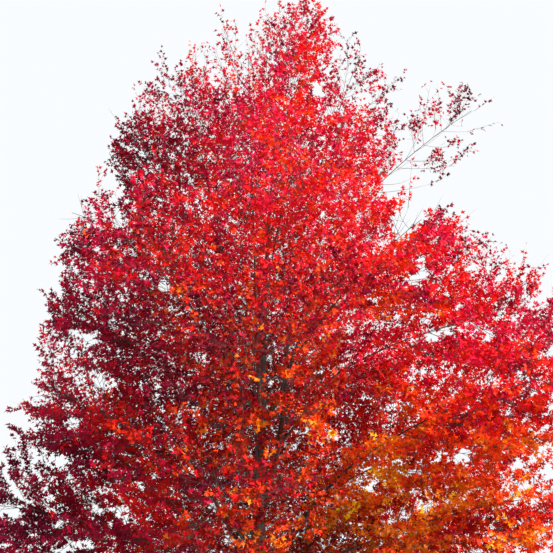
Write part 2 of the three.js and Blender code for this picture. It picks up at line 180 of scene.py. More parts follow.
INNER_BRANCHLETS = dict(BRANCHLETS, step=0.24, longest=0.8)
TWIGS = dict(step=0.19, first=0.2, angle=42, lift=0.16, twist=0.4, share=0.6, least=0.13,
             longest=0.4, radius=0.0026, sag=0.0, tone=0.06)
TIP_SHOOTS = 2  # to a branch
TIP_FROM = 0.7  # along the branch
TIP_LENGTH = (0.3, 1.0)
TIP_LIFT = (0.4, 1.3)
TIP_SCATTER = 0.25
TIP_SAG = 0.04
TIP_RADIUS = 0.0046
BARE_TWIGS = 0.12  # the share of the twigs without leaves that stays

# Inner shoots: branchlets straight on the leaders and boughs, up to where the masses start
INNER_STEP = dict(leader=0.17, bough=0.11)
INNER_FROM = dict(leader=0.14, bough=0.15)
INNER_ANGLE = math.radians(55)
INNER_ANGLE_VARIETY = (0.8, 1.2)
INNER_TURN_JITTER = 0.6
INNER_LIFT = 0.2
INNER_SAG = 0.08
INNER_LENGTH = dict(leader=(0.8, 2.1), bough=(0.7, 1.9))
INNER_RADIUS = 0.006
BOX_MARGIN = 0.2  # how far a leaf may reach beyond the solids' box

# Leaves
LEAF_COUNT = 206000
LEAF_STEP = 0.045
LEAF_LENGTH = (0.058, 0.093)
TWIG_LEAVES_FROM = 0.3  # of each kind of shoot's length
BRANCHLET_LEAVES_FROM = 0.7
TIP_LEAVES_FROM = 0.15
TIP_LEAVES_TO = (0.3, 1.0)  # beyond which a tip shoot is bare
PAIR_PLACE = 0.6  # of the step between two pairs of leaves
PAIR_JITTER = 0.4
LEAF_ALONG = 0.7  # how far a leaf points along its shoot
LEAF_RISE = 0.1
OUT_SCATTER = 0.25
OUT_DROOP = 0.25
FACE_OUTWARD = 0.35  # where a leaf's face looks: out of the crown
FACE_UP = 0.75  # up to the light
FACE_SCATTER = 0.85  # and by chance
FRONT_CELL = 12  # the cells that leaves are counted in: the photograph's pixels,
SIDE_CELL = 0.22  # metres as seen from the side,
SPACE_CELL = 0.45  # and metres in space
FRONT_POWER, SIDE_POWER, SPACE_POWER = 0.72, 0.16, 0.12  # how much each count thins the leaves
SPRAY_PART = 0.5  # how far the thinning takes whole sprays, not single leaves
LEAF_FOLD = 0.16
LEAF_DROOP = 0.12
FIVE_LOBES = [  # half a blade: across and along, from its stalk to its tip
    (0.00, 0.00), (0.34, 0.20), (0.53, 0.60), (0.19, 0.57), (0.00, 1.08),
]
THREE_LOBES = [(0.00, 0.00), (0.55, 0.55), (0.20, 0.54), (0.00, 1.10)]
FIVE_LOBED = 0.06  # the share of leaves with five lobes
INSIDE_LEAVES = 0.35  # the share of leaves that grows deep inside the crown,
OUTER_REACH = (0.05, 0.5)  # and from where to where that share rises to all, of its reach
THINNING_ROUNDS = 30
CROWN_REACH = ((3.0, 6.0, 9.0, 12.0, 15.4), (5.4, 5.6, 4.6, 3.4, 1.4))  # heights and reaches


def spread(a, b, c):
    """A number from -1 to 1 that is always the same for the same three."""
    wave = math.sin(a * DICE_WAVES[0] + b * DICE_WAVES[1] + c * DICE_WAVES[2]) * DICE_SCALE
    return 2 * (wave - math.floor(wave)) - 1


def unit(vectors):
    vectors = np.asarray(vectors, float)
    return vectors / np.linalg.norm(vectors, axis=-1, keepdims=True)


def dot(a, b):
    return np.sum(a * b, axis=-1)


def heading(azimuth):
    angle = math.radians(azimuth)
    return np.array([math.cos(angle), math.sin(angle), 0.0])


def abreast(azimuth):
    """The level direction square to an azimuth."""
    return heading(azimuth + 90)


def polar(azimuth, reach, height):
    return heading(azimuth) * reach + UP * height


def bezier(controls, t):
    """Points of a Bezier curve at each t, or of as many curves at their own t."""
    t = np.asarray(t, float)[..., None]
    rows = [np.asarray(control, float) + 0 * t for control in controls]
    while len(rows) > 1:
        rows = [a + (b - a) * t for a, b in zip(rows, rows[1:])]
    return rows[0]


def bezier_tangent(controls, t):
    steps = [b - a for a, b in zip(controls, controls[1:])]
    return unit(bezier(steps, t))


# Limbs
def trunk_controls():
    top = np.array([*FORK_OFFSET, FORK_HEIGHT])
    sway = np.array([TRUNK_SWAY, 0, FORK_HEIGHT * 2 / 3])
    return [np.zeros(3), UP * FORK_HEIGHT / 3, sway, top]


def trunk_radius(t, angle=0.0):
    height = t * FORK_HEIGHT
    slope = (BREAST_RADIUS - FORK_RADIUS) / (FORK_HEIGHT - BREAST_HEIGHT)
    stem = FORK_RADIUS + slope * (FORK_HEIGHT - height)
    lobe = 1 + ROOT_LOBE_DEPTH * np.cos(ROOT_LOBES * angle)
    return stem + FLARE * np.exp(-height / FLARE_FADE) * lobe


def limb_radius(base, tip, rise):
    collar = COLLAR if rise > 0 else 0

    def radius(t, angle=0.0):
        return (base + (tip - base) * t ** TAPER_POWER) * (1 + collar * np.exp(-t / COLLAR_FADE))

    return radius


def place_of_height(controls, height):
    """How far along a curve it reaches a height, by halving."""
    low, high = 0.0, 1.0
    for _ in range(HALVINGS):
        middle = (low + high) / 2
        if bezier(controls, middle)[2] < height:
            low = middle
        else:
            high = middle
    return low


def limb_controls(limb, root):
    way = limb.neck_point - root
    length = np.linalg.norm(way)
    outward = unit(way * (1, 1, 0))
    angle = math.radians(limb.rise)
    leave = outward * math.sin(angle) + UP * math.cos(angle)
    onward = unit(limb.end_point - limb.neck_point)
    sway = abreast(limb.azimuth) * BOUGH_SWAY * length
    arrive = unit(unit(way) * (1 - ARRIVAL_TURN) + onward * ARRIVAL_TURN)
    handle = length * REACH_OF_HANDLES
    first = root + leave * handle
    second = limb.neck_point - arrive * handle + sway * spread(limb.number, 2, 0)
    if limb.rise > 0:
        first = first + sway * spread(limb.number, 1, 0)
    return [root, first, second, limb.neck_point]


def make_limb(plan, parent):
    limb = SimpleNamespace(**plan)
    scale = 1 + limb.pull * heading(limb.azimuth)[0]
    limb.neck_point = polar(limb.azimuth, limb.neck[0] * scale, limb.neck[1])
    limb.end_point = polar(limb.azimuth, limb.end[0] * scale, limb.end[1])
    if parent:
        place = place_of_height(parent.controls, limb.root)
        root = bezier(parent.controls, place)
        limb.base = min(limb.base, THICKEST_SHARE * float(parent.radius(place)))
    else:
        root = trunk_controls()[-1]
    limb.controls = limb_controls(limb, root)
    limb.radius = limb_radius(limb.base, limb.tip, limb.rise)
    return limb


def nearest_leader(leaders, azimuth, height):
    outward = heading(azimuth)
    reach = [bezier(x.controls, place_of_height(x.controls, height)) @ outward for x in leaders]
    return leaders[int(np.argmax(reach))]


def plan_limbs(trunk):
    leaders = [make_limb(dict(CENTRE_LEADER, name="centre", kind="leader", number=1), None)]
    for name, plan in LEADERS.items():
        facts = dict(LEADER_SHAPE, **plan, name=name, kind="leader", number=len(leaders) + 1)
        leaders.append(make_limb(facts, trunk))
    limbs = list(leaders)
    by_name = {limb.name: limb for limb in leaders}
    for name, plan in HIGH_LIMBS.items():
        facts = dict(HIGH_SHAPE, **plan, name=name, kind="bough", number=len(limbs) + 1)
        limbs.append(make_limb(facts, by_name[plan["parent"]]))
    for tier, plan in TIERS.items():
        for i in range(plan["count"]):
            azimuth = plan["first"] + i * 360 / plan["count"]
            low, high = plan["root"]
            root = low + (high - low) * ((i * ROOT_STRIDE) % 1)
            parent = trunk if root < FORK_HEIGHT else nearest_leader(leaders, azimuth, root)
            facts = dict(plan, name=f"{tier}_{i + 1}", kind="bough", azimuth=azimuth, root=root,
                         number=len(limbs) + 1)
            limbs.append(make_limb(facts, parent))
    return limbs


trunk = SimpleNamespace(name="trunk", controls=trunk_controls(), radius=trunk_radius)
limbs = plan_limbs(trunk)


# Spaces: each mass keeps inside an ellipsoid and this side of a wall to every other mass
def make_spaces(limbs):
    neck = np.array([limb.neck_point for limb in limbs])
    way = np.array([limb.end_point for limb in limbs]) - neck
    along = unit(way)
    across = np.array([abreast(limb.azimuth) for limb in limbs])
    third = unit(np.cross(along, across))
    sizes = np.array([
        [np.linalg.norm(w) * (SPACE_SPAN[1] - SPACE_SPAN[0]) / 2, limb.breadth, limb.depth]
        for w, limb in zip(way, limbs)
    ])
    hearts = neck + way * MASS_CENTRE
    between = hearts[None] - hearts[:, None]
    np.einsum("iij->ij", between)[:] = UP
    normals = unit(between)
    walls = (hearts[None] + hearts[:, None]) / 2 - normals * WALL_MARGIN
    np.einsum("iij->ij", walls)[:] = UP * FAR_WALL
    centre = neck + way * sum(SPACE_SPAN) / 2
    axes = np.stack([along, across, third], axis=1)
    return SimpleNamespace(centre=centre, axes=axes, sizes=sizes, normals=normals, walls=walls)


def way_out(spaces, mass, point, direction):
    """How far each point can go before it leaves the space of its mass."""
    axes, sizes = spaces.axes[mass], spaces.sizes[mass]
    start = np.einsum("nij,nj->ni", axes, point - spaces.centre[mass]) / sizes
    step = np.einsum("nij,nj->ni", axes, direction) / sizes
    a, b, c = dot(step, step), dot(start, step), dot(start, start) - 1
    out = (-b + np.sqrt(np.maximum(b * b - a * c, 0))) / a
    speed = np.einsum("nj,nij->ni", direction, spaces.normals[mass])
    gap = dot(spaces.walls[mass] - point[:, None], spaces.normals[mass])
    until = np.where(speed > TINY, gap / np.maximum(speed, TINY), np.inf)
    return np.minimum(out, until.min(axis=1))


def is_inside(spaces, mass, point):
    axes, sizes = spaces.axes[mass], spaces.sizes[mass]
    start = np.einsum("nij,nj->ni", axes, point - spaces.centre[mass]) / sizes
    beyond = dot(point[:, None] - spaces.walls[mass], spaces.normals[mass])
    return (dot(start, start) < 1) & (beyond.max(axis=1) < 0)


def limb_beads():
    """Points along every limb with the radius there, to keep shoots and leaves clear of them."""
    t = np.linspace(0, 1, BEADS)
    beads = [(bezier(x.controls, t), x.radius(t)) for x in [trunk, *limbs]]
    return np.concatenate([p for p, _ in beads]), np.concatenate([r for _, r in beads])


def room_at(beads, points):
    """The distance from each point to the nearest limb's surface."""
    place, radius = beads
    room = np.empty(len(points))
    for i in range(0, len(points), BATCH):
        gap = np.linalg.norm(points[i:i + BATCH, None] - place, axis=2) - radius
        room[i:i + BATCH] = gap.min(axis=1)
    return room


# Families of shoots and of leaves: arrays with a row for each
def choose(family, chosen):
    return SimpleNamespace(**{name: rows[chosen] for name, rows in vars(family).items()})


def gather(*families):
    names = vars(families[0])
    return SimpleNamespace(**{n: np.concatenate([getattr(x, n) for x in families]) for n in names})


# Shoots: quadratic curves
def make_shoots(mass, looks, start, direction, length, sag, thick):
    """Looks are the tone and the shade of each, which sway its leaves' hue and brightness."""
    stop = start + direction * length[:, None]
    bend = (start + stop) / 2 - UP * (sag * length)[:, None]
    return SimpleNamespace(mass=mass, tone=looks[0], shade=looks[1], start=start, bend=bend,
                           stop=stop, length=length, thick=thick)


def curve(shoots):
    return [shoots.start, shoots.bend, shoots.stop]


def around(along, turn):
    """A direction square to each line, turned about it from the level."""
    side = unit(np.cross(UP, along) + EAST * TINY)
    over = np.cross(along, side)
    return side * np.cos(turn)[:, None] + over * np.sin(turn)[:, None]


def place_on(shoots, place):
    return bezier(curve(shoots), np.full(len(shoots.mass), place))


def paired(counts):
    """Owner, node and hand of the pairs that stand at so many nodes of each owner."""
    owner = np.repeat(np.arange(len(counts)), 2 * counts)
    number = np.arange(len(owner)) - np.repeat(2 * (np.cumsum(counts) - counts), 2 * counts)
    return owner, number // 2, number % 2


def make_stems(limbs):
    stems = []
    for limb in limbs:
        arrive = bezier_tangent(limb.controls, 1.0)
        way = limb.end_point - limb.neck_point
        stop = limb.end_point - unit(way) * STEM_STOP
        bend = limb.neck_point + arrive * np.linalg.norm(way) / 2
        stems.append([limb.neck_point, bend, stop])
    return stems


def grow_branches(limbs, stems, spaces, beads, rng):
    """Branches at the stem's nodes, in opposite pairs, out to near the edge of the space."""
    rows = []
    for mass, (limb, stem) in enumerate(zip(limbs, stems)):
        side = abreast(limb.azimuth)
        for node in range(BRANCH_NODES):
            place = FIRST_NODE + NODE_STEP * node
            along = bezier_tangent(stem, place)
            square = unit(side - along * dot(side, along))
            over = np.cross(along, square)
            for hand in (0, 1):
                jitter = TURN_JITTER * spread(limb.number, node + hand, TURN_DICE)
                turn = node * NODE_TURN + hand * math.pi + jitter
                out = (square * math.cos(turn) + over * math.sin(turn)) * math.tan(BRANCH_ANGLE)
                lift = SKIRT_LIFT if limb.name.startswith("skirt") else BRANCH_LIFT
                direction = unit(unit(out + along) + UP * lift)
                stem_radius = limb.tip * (1 - STEM_THINNING * place)
                thick = min(BRANCH_RADIUS, BRANCH_SHARE * stem_radius)
                rows.append((mass, bezier(stem, place), direction, thick))
    mass, start, direction, thick = (np.array(column) for column in zip(*rows))
    reach = rng.uniform(*BRANCH_REACH, len(mass))
    looks = rng.normal(0, BRANCH_TONE, (2, len(mass)))
    length = (way_out(spaces, mass, start, direction) - BRANCH_MARGIN) * reach
    good = is_inside(spaces, mass, start) & (length > SHORTEST_BRANCH)
    branches = choose(make_shoots(mass, looks, start, direction, length, BRANCH_SAG, thick), good)
    return stop_at_limbs(branches, beads, SHORTEST_BRANCH)


def stop_at_limbs(shoots, beads, least):
    """Shortens each shoot that runs into a limb, and drops it where little is left."""
    free = np.ones(len(shoots.mass))
    for place in TRIED_STOPS[::-1]:
        blocked = room_at(beads, place_on(shoots, place)) < LIMB_CLEARANCE
        free = np.where(blocked, place - STOP_BEFORE, free)
    cut = np.clip(free, SHORTEST_CUT, 1)
    shorter = choose(shoots, slice(None))
    shorter.stop = bezier(curve(shoots), cut)
    shorter.bend = shoots.start + (shoots.bend - shoots.start) * cut[:, None]
    shorter.length = shoots.length * cut
    return choose(shorter, shorter.length > least)


def inner_shoots(limbs, rng):
    """Branchlets that stand on the bare part of each leader and bough."""
    rows = []
    for mass, limb in enumerate(limbs):
        length = np.linalg.norm(np.diff(limb.controls, axis=0), axis=1).sum()
        first = INNER_FROM[limb.kind]
        count = int(length * (1 - first) / INNER_STEP[limb.kind])
        for node in range(count):
            place = first + (1 - first) * (node + rng.uniform(0, 1)) / count
            along = bezier_tangent(limb.controls, place)
            jitter = rng.uniform(-INNER_TURN_JITTER, INNER_TURN_JITTER)
            out = around(along[None], np.array([node * NODE_TURN * 2 + jitter]))[0]
            turn = INNER_ANGLE * rng.uniform(*INNER_ANGLE_VARIETY)
            direction = unit(along * math.cos(turn) + out * math.sin(turn) + UP * INNER_LIFT)
            reach = rng.uniform(*INNER_LENGTH[limb.kind])
            rows.append((mass, bezier(limb.controls, place), direction, reach))
    mass, start, direction, length = (np.array(column) for column in zip(*rows))
    looks = rng.normal(0, BRANCH_TONE, (2, len(mass)))
    thick = np.full(len(mass), INNER_RADIUS)
    return make_shoots(mass, looks, start, direction, length, INNER_SAG, thick)


def side_shoots(parents, spaces, rule, rng, bounded=True):
    """Opposite pairs of shoots along each parent, to its sides where it lies level."""
    counts = np.maximum((parents.length * (1 - rule["first"]) / rule["step"]).astype(int), 1)
    owner, node, hand = paired(counts)
    count = len(owner)
    jitter = rng.uniform(-PLACE_JITTER, PLACE_JITTER, count)
    share = np.clip((node + SIDE_PLACE) / counts[owner] + jitter / counts[owner], 0, 1)
    place = rule["first"] + (LAST_PLACE - rule["first"]) * share
    parent = choose(parents, owner)
    start = bezier(curve(parent), place)
    along = bezier_tangent(curve(parent), place)
    twist = rule["twist"] + STEEP_TWIST * along[:, 2] ** STEEP_POWER
    turn = hand * math.pi + rng.normal(0, 1, count) * twist
    angle = np.radians(rule["angle"] + rng.uniform(-ANGLE_JITTER, ANGLE_JITTER, count))[:, None]
    out = around(along, turn) * np.sin(angle)
    direction = unit(along * np.cos(angle) + out + UP * rule["lift"])
    reach = parent.length * (1 - place) * rule["share"] + rule["least"]
    length = np.minimum(reach, rule["longest"]) * rng.uniform(*LENGTH_VARIETY, count)
    if bounded:
        margin = rng.uniform(*EDGE_MARGIN, count)
        length = np.minimum(length, way_out(spaces, parent.mass, start, direction) - margin)
    looks = (parent.tone, parent.shade) + rng.normal(0, rule["tone"], (2, count))
    thick = np.minimum(rule["radius"], parent.thick * SIDE_SHARE)
    shoots = make_shoots(parent.mass, looks, start, direction, length, rule["sag"], thick)
    return choose(shoots, length > rule["least"] * STUNTED)


def tip_shoots(parents, rng):
    """Slender shoots on the last part of each parent, up and out beyond the leaves."""
    parent = choose(parents, np.repeat(np.arange(len(parents.mass)), TIP_SHOOTS))
    count = len(parent.mass)
    place = rng.uniform(TIP_FROM, 1, count)
    along = bezier_tangent(curve(parent), place)
    lift = rng.uniform(*TIP_LIFT, count)[:, None]
    direction = unit(along + UP * lift + rng.normal(0, TIP_SCATTER, (count, 3)))
    length = rng.uniform(*TIP_LENGTH, count)
    thick = np.full(count, TIP_RADIUS)
    start = bezier(curve(parent), place)
    looks = (parent.tone, parent.shade)
    return make_shoots(parent.mass, looks, start, direction, length, TIP_SAG, thick)


def shoot_mesh(shoots, sides, steps):
    """Three-sided or finer tubes that taper to a point at the tip."""
    count = len(shoots.mass)
    rings = []
    for i in range(steps):
        t = np.full(count, i / steps)
        centre = bezier(curve(shoots), t)
        along = bezier_tangent(curve(shoots), t)
        radius = shoots.thick + (SHOOT_TIP_RADIUS - shoots.thick) * t
        for k in range(sides):
            turn = np.full(count, 2 * math.pi * k / sides)
            rings.append(centre + around(along, turn) * radius[:, None])
    rings.append(shoots.stop)
    vertices = np.stack(rings, axis=1)
    faces = []
    for i in range(steps):
        for k in range(sides):
            a, b = i * sides + k, i * sides + (k + 1) % sides
            if i == steps - 1:
                faces.append((a, b, steps * sides))
            else:
                faces += [(a, b, b + sides), (a, b + sides, a + sides)]
    each = vertices.shape[1]
    triangles = np.array(faces)[None] + (np.arange(count) * each)[:, None, None]
    return vertices.reshape(-1, 3), triangles.reshape(-1, 3)


# Leaves
def leaf_sites(shoots, rng):
    """Opposite pairs of leaves along each shoot between two places, and one at the second."""
    first, last = shoots.first, shoots.last
    counts = np.maximum((shoots.length * (last - first) / LEAF_STEP).astype(int), 1)
    owner, node, hand = paired(counts)
    place = first[owner] + (last - first)[owner] * (node + PAIR_PLACE) / counts[owner]
    jitter = rng.uniform(-PAIR_JITTER, PAIR_JITTER, len(node))
    turn = node * math.pi / 2 + hand * math.pi + jitter + owner
    parent = choose(shoots, owner)
    along = bezier_tangent(curve(parent), place)
    out = unit(along * LEAF_ALONG + around(along, turn) + UP * LEAF_RISE)
    return SimpleNamespace(
        shoot=np.concatenate([owner, np.arange(len(counts))]),
        root=np.concatenate([bezier(curve(parent), place), bezier(curve(shoots), last)]),
        out=np.concatenate([out, bezier_tangent(curve(shoots), last)]),
    )


def leaf_template(half):
    """One leaf: a folded, drooping blade, its stalk end at the origin."""
    half = np.array(half)
    outline = np.concatenate([half, half[-2:0:-1] * (-1, 1)])
    across, along = outline.T
    lift = LEAF_FOLD * np.abs(across) - LEAF_DROOP * along ** 2
    fan = [(0, i, i + 1) for i in range(1, len(outline) - 1)]
    return np.stack([across, along, lift], axis=1), np.array(fan)


def leaf_mesh(leaves, template):
    shape, faces = template
    hang = unit(leaves.out)
    side = unit(np.cross(hang, leaves.face))
    face = np.cross(side, hang)
    basis = np.stack([side, hang, face], axis=1) * leaves.length[:, None, None]
    vertices = leaves.root[:, None] + np.einsum("vk,nkj->nvj", shape, basis)
    triangles = faces[None] + (np.arange(len(leaves.root)) * len(shape))[:, None, None]
    return vertices.reshape(-1, 3), triangles.reshape(-1, 3)


# The photograph's frame
IMAGE = 553  # pixels, both ways
FOCAL = 990  # pixels too
CAMERA_PLACE = np.array([0.35, -19.0, 1.6])
CAMERA_TILT = math.radians(20.4)


def pixel_of(points):
    """The column and the row, from the top left corner, where the camera sees each point."""
    view = points - CAMERA_PLACE
    ahead = np.array([0, math.cos(CAMERA_TILT), math.sin(CAMERA_TILT)])
    over = np.array([0, -math.sin(CAMERA_TILT), math.cos(CAMERA_TILT)])
    away = view @ ahead
    return np.stack([IMAGE / 2 + FOCAL * view[:, 0] / away,
                     IMAGE / 2 - FOCAL * (view @ over) / away], axis=1)


# Gaps: by radius, the pixels where the sky shows through
SKY_GAPS = {
    3: [(317, 429), (249, 417)],
    4: [(268, 280), (49, 457), (137, 420), (278, 355), (271, 365), (274, 379), (277, 309),
        (260, 425), (302, 385), (240, 300), (201, 415)],
    5: [(237, 281), (370, 301), (525, 447), (447, 273), (111, 435), (110, 526), (260, 400),
        (260, 390), (230, 95), (392, 253)],
    6: [(329, 232), (185, 313), (190, 474), (350, 482), (480, 382), (171, 308), (114, 389),
        (83, 378), (47, 494), (308, 360)],
    7: [(376, 250), (223, 445), (506, 411), (408, 282), (487, 338), (102, 253), (133, 211),
        (431, 243)],
    8: [(203, 361), (529, 391), (542, 355), (117, 199), (148, 277), (95, 341), (100, 384),
        (5, 512), (210, 514), (228, 541), (420, 261)],
    9: [(321, 217), (78, 426), (540, 301)],
    10: [(422, 269), (166, 285), (80, 337), (384, 243), (112, 214), (414, 224), (122, 224),
        (16, 490), (365, 104)],
    11: [(464, 455)],
    13: [(388, 192)],
    14: [(398, 228)],
    15: [(396, 180)],
    19: [(424, 190), (411, 213)],
}
GAP_SHARE = 0.7  # of its width that a gap is kept quite clear
GAP_SOFT = 0.6  # of that again, over which it fades out

# Thin foliage: where, how wide and how much of it is missing
THIN_SPOTS = [
    (228, 40, 36, 0.8), (268, 18, 20, 0.6), (178, 72, 40, 0.6), (60, 375, 34, 0.5),
    (118, 128, 30, 0.25), (372, 75, 34, 0.62), (430, 125, 50, 0.62), (475, 140, 30, 0.7),
    (505, 235, 30, 0.7), (404, 170, 20, 0.4), (258, 60, 12, 0.6), (300, 5, 16, 0.4),
    (60, 225, 22, 0.5), (95, 165, 22, 0.4),
]
THIN_SOFT = 0.8


def spots(pixels, places, soft):
    """How strongly each pixel lies in one of some round places, 0 to the place's strength."""
    strength = np.zeros(len(pixels))
    for u, v, radius, most in places:
        far = np.hypot(pixels[:, 0] - u, pixels[:, 1] - v) / radius
        strength = np.maximum(strength, most * np.clip((1 + soft - far) / soft, 0, 1))
    return strength


# Windows: pixels where dark limbs show between the sprays, and how wide each is
LIMB_WINDOWS = [
    (269, 340, 8), (270, 360, 8), (271, 385, 8), (268, 405, 7), (274, 318, 7), (286, 350, 7),
    (286, 385, 6), (279, 428, 7), (245, 405, 5), (250, 430, 5), (254, 452, 6), (258, 474, 5),
    (284, 250, 6), (281, 272, 6), (262, 372, 6), (262, 500, 4), (240, 312, 6),
]
WINDOW_STRENGTH = 0.92
WINDOW_SOFT = 0.5
WINDOW_FRONT = -0.3  # metres: only what stands in front of the leaders is thinned


def in_window(points):
    """How strongly each point hides a limb that the photograph shows."""
    places = [(u, v, radius, WINDOW_STRENGTH) for u, v, radius in LIMB_WINDOWS]
    return spots(pixel_of(points), places, WINDOW_SOFT) * (points[:, 1] < WINDOW_FRONT)


def in_gap(pixels):
    """How surely the sky shows through at each pixel."""
    places = [(u, v, radius * GAP_SHARE, 1) for radius, gaps in SKY_GAPS.items() for u, v in gaps]
    return spots(pixels, places, GAP_SOFT)


# The crown's edge, row by row: the leftmost and rightmost pixels of foliage
CROWN_EDGE = np.array([
    (-40, 228, 310), (0, 222, 326), (30, 192, 366), (75, 156, 382), (100, 138, 384),
    (150, 114, 378), (190, 114, 380), (206, 96, 428), (226, 84, 456), (245, 50, 500),
    (262, 50, 520), (268, 50, 545), (282, 54, 570), (292, 40, 590), (318, 60, 600),
    (335, 40, 600), (400, 40, 600), (418, -10, 620), (450, -60, 640), (600, -60, 640),
])
LONG_BRANCHES = [  # that reach out over the sky at the upper right
    ((378, 155), (404, 126), (441, 109), (461, 93)),
    ((395, 206), (440, 160), (486, 140)),
    ((374, 150), (387, 132), (406, 84)),
]
LONG_BRANCH_WIDTH = 9
SHOWN_PLACE = 0.6  # along a shoot: the place that counts
EDGE_INSET = 6  # how far inside the edge all shoots stay, in pixels,
EDGE_FADE = 20  # how far on from there the last ones are,
TIP_FADE = 32  # and the last tip shoots


def beside(pixels, line):
    """How many pixels each point lies from a broken line."""
    far = np.full(len(pixels), np.inf)
    for a, b in zip(line, line[1:]):
        a, way = np.array(a, float), np.subtract(b, a)
        place = np.clip((pixels - a) @ way / (way @ way), 0, 1)
        far = np.minimum(far, np.linalg.norm(pixels - a - place[:, None] * way, axis=1))
    return far


def beyond_edge(pixels):
    """How many pixels each point lies outside the crown's edge."""
    u, v = pixels.T
    left = np.interp(v, CROWN_EDGE[:, 0], CROWN_EDGE[:, 1])
    right = np.interp(v, CROWN_EDGE[:, 0], CROWN_EDGE[:, 2])
    near = np.min([beside(pixels, line) for line in LONG_BRANCHES], axis=0) - LONG_BRANCH_WIDTH
    return np.maximum(left - u, np.minimum(u - right, near))


# Tints: each hue at each level of brightness, dealt out by spray. The levels are lit and shaded
# copies of each hue, for painted light and shade together with each spray's own tone
HUES = {
    "plum": (0.56, 0.017, 0.082),
    "rose": (0.71, 0.009, 0.058),
    "scarlet": (0.78, 0.011, 0.011),
    "vermilion": (0.83, 0.053, 0.006),
    "orange": (0.81, 0.180, 0.008),
    "gold": (0.88, 0.450, 0.015),
}
PAINTED_LIGHT_AND_TONE_LEVELS = {"dusk": 0.15, "dark": 0.26, "middle": 0.46, "clear": 0.74, "bright": 1.0}
SLOTS = {"b": "foliage_burgundy", "c": "foliage_crimson", "s": "foliage_scarlet",
         "o": "foliage_orange"}
SLOTS_BY_LEVEL = dict(plum="bbbbb", rose="bbccc", scarlet="bbcss", vermilion="ccsss",
                      orange="ooooo", gold="ooooo")
LEAF_LOOK = {"Roughness": 0.55, "Specular IOR Level": 0.04}
COLOR_PLACE = 0.7  # along a shoot, where the colour of its leaves is taken
HUE_VARIETY = 5.5  # how the tone of a spray shifts its hue, in hues
LEVEL_VARIETY = 3.2  # and its brightness, as a power
HUE_SPECKS = 0.3  # how far one twig's hue strays from the next one's
LEVEL_SPECKS = 0.05  # and its brightness
HUE_OF_SHADE = 0.8  # how much yellower a spray is for being brighter, from its own tone and from painted light
GOLD_LIFT = 0.6  # how much brighter the yellowest sprays are, as a power,
GOLD_FROM = 3.0  # and the hue from which they are
PAINTED_LAYER_STRENGTH = 0.5  # how strong the lighter and darker layers of painted light and shade are, as a power,
HUE_DAPPLE = 0.45  # how far their hues differ, the lighter ones yellower,
OPEN_DAPPLE = 0.4  # and how much more open the darker ones are
LAYER_SLOPE = (24, 46)  # degrees from the level low down, and how much steeper high up
LAYER_HEIGHTS = (5.0, 12.0)
LAYERS = [  # broad ones and narrow ones
    dict(share=0.6, waves=4.4, wander=1.9, turns=2, climb=0.9, start=0.0),
    dict(share=0.4, waves=8.3, wander=2.3, turns=3, climb=-1.3, start=1.0),
]
STRONG_HEIGHTS = (8.5, 11.0)  # where the layers grow stronger,
STRONGER = 0.7  # by how much,
CALM_LEFT = (-0.8, -2.2)  # and where, towards the left, they grow calmer instead

# Zones of the crown: what each one adds, and where it fades in, by axis, from and to
PLAIN_HUE = 1.1
HUE_ZONES = [
    (0.60, ("z", 10.8, 8.0), ("|x|", 4.8, 2.2)),
    (-1.00, ("x", -1.5, -3.8)),
    (-0.70, ("x", 1.8, 3.2), ("z", 8.5, 10.0)),
    (1.55, ("z", 7.2, 4.0), ("x", -0.8, 2.0)),
]
# Painted light and shade, as a share of a spray's full colour: darker at the left, lighter at the
# right
LEFT_PAINTED_LIGHT = 0.60
LEFT_PAINTED_LIGHT_ZONES = [
    (-0.36, ("z", 8.0, 10.8)),
    (0.47, ("z", 7.0, 10.0), ("x", -2.0, -0.3)),
    (-0.06, ("x", -3.0, -2.0), ("z", 9.0, 7.0)),
    (0.04, ("z", 8.0, 10.0)),
    (0.22, ("z", 11.0, 12.3)),
    (-0.12, ("x", -2.8, -1.6), ("z", 6.6, 5.6)),
]
RIGHT_PAINTED_LIGHT = 1.0
LEFT_TO_RIGHT = (-0.8, 3.0)
# painted shade, taken off the light
SHADED_ZONES = [
    (0.28, ("z", 5.4, 3.6), ("x", -1.5, 0.5), ("x", 4.0, 1.5)),
    (0.12, ("x", -2.6, -4.2)),
    (0.08, ("x", 3.2, 4.6), ("z", 5.4, 4.0)),
    (0.52, ("x", 1.8, 3.2), ("z", 8.0, 9.8)),
]
FULLER_ZONES = [  # and how much fuller the crown is there
    (0.90, ("z", 8.4, 7.0), ("x", 0.8, 2.2)),
    (0.55, ("z", 8.4, 7.0), ("x", -1.2, -2.8)),
]

# Round patches: what each one adds, its middle and its size, across and up
GOLDEN = (0.35, (2.1, 4.2), (1.5, 1.3))
# a pool of painted light high in the middle
PAINTED_LIGHT_PATCH = (0.55, (0.6, 9.4), (1.9, 2.3))
# a patch of painted shade low in the middle
PAINTED_SHADE_PATCH = (0.31, (0.1, 6.2), (1.4, 1.2))


def ramp(values, low, high):
    return np.clip((values - low) / (high - low), 0, 1)


def with_zones(start, points, zones):
    """A plain value and what each zone adds to it at each point."""
    x, _, z = points.T
    places = {"x": x, "|x|": np.abs(x), "z": z}
    total = start
    for amount, *fades in zones:
        for axis, low, high in fades:
            amount = amount * ramp(places[axis], low, high)
        total = total + amount
    return total


def patch(points, amount, middle, size):
    x, _, z = points.T
    far = -((x - middle[0]) / size[0]) ** 2 - ((z - middle[1]) / size[1]) ** 2
    return amount * np.exp(far)


def hue_at(points):
    """0 for plum to 5 for gold: rosy at the top and the left, rusty at the lower right."""
    return with_zones(PLAIN_HUE, points, HUE_ZONES) + patch(points, *GOLDEN)


def painted_light_at(points):
    """Painted light and shade: the share of its full colour that a spray has, most in the middle,
    least at the upper left.
    """
    left = with_zones(LEFT_PAINTED_LIGHT, points, LEFT_PAINTED_LIGHT_ZONES)
    across = left + (RIGHT_PAINTED_LIGHT - left) * ramp(points[:, 0], *LEFT_TO_RIGHT)
    lit = across + patch(points, *PAINTED_LIGHT_PATCH) - patch(points, *PAINTED_SHADE_PATCH)
    return lit - with_zones(0, points, SHADED_ZONES)


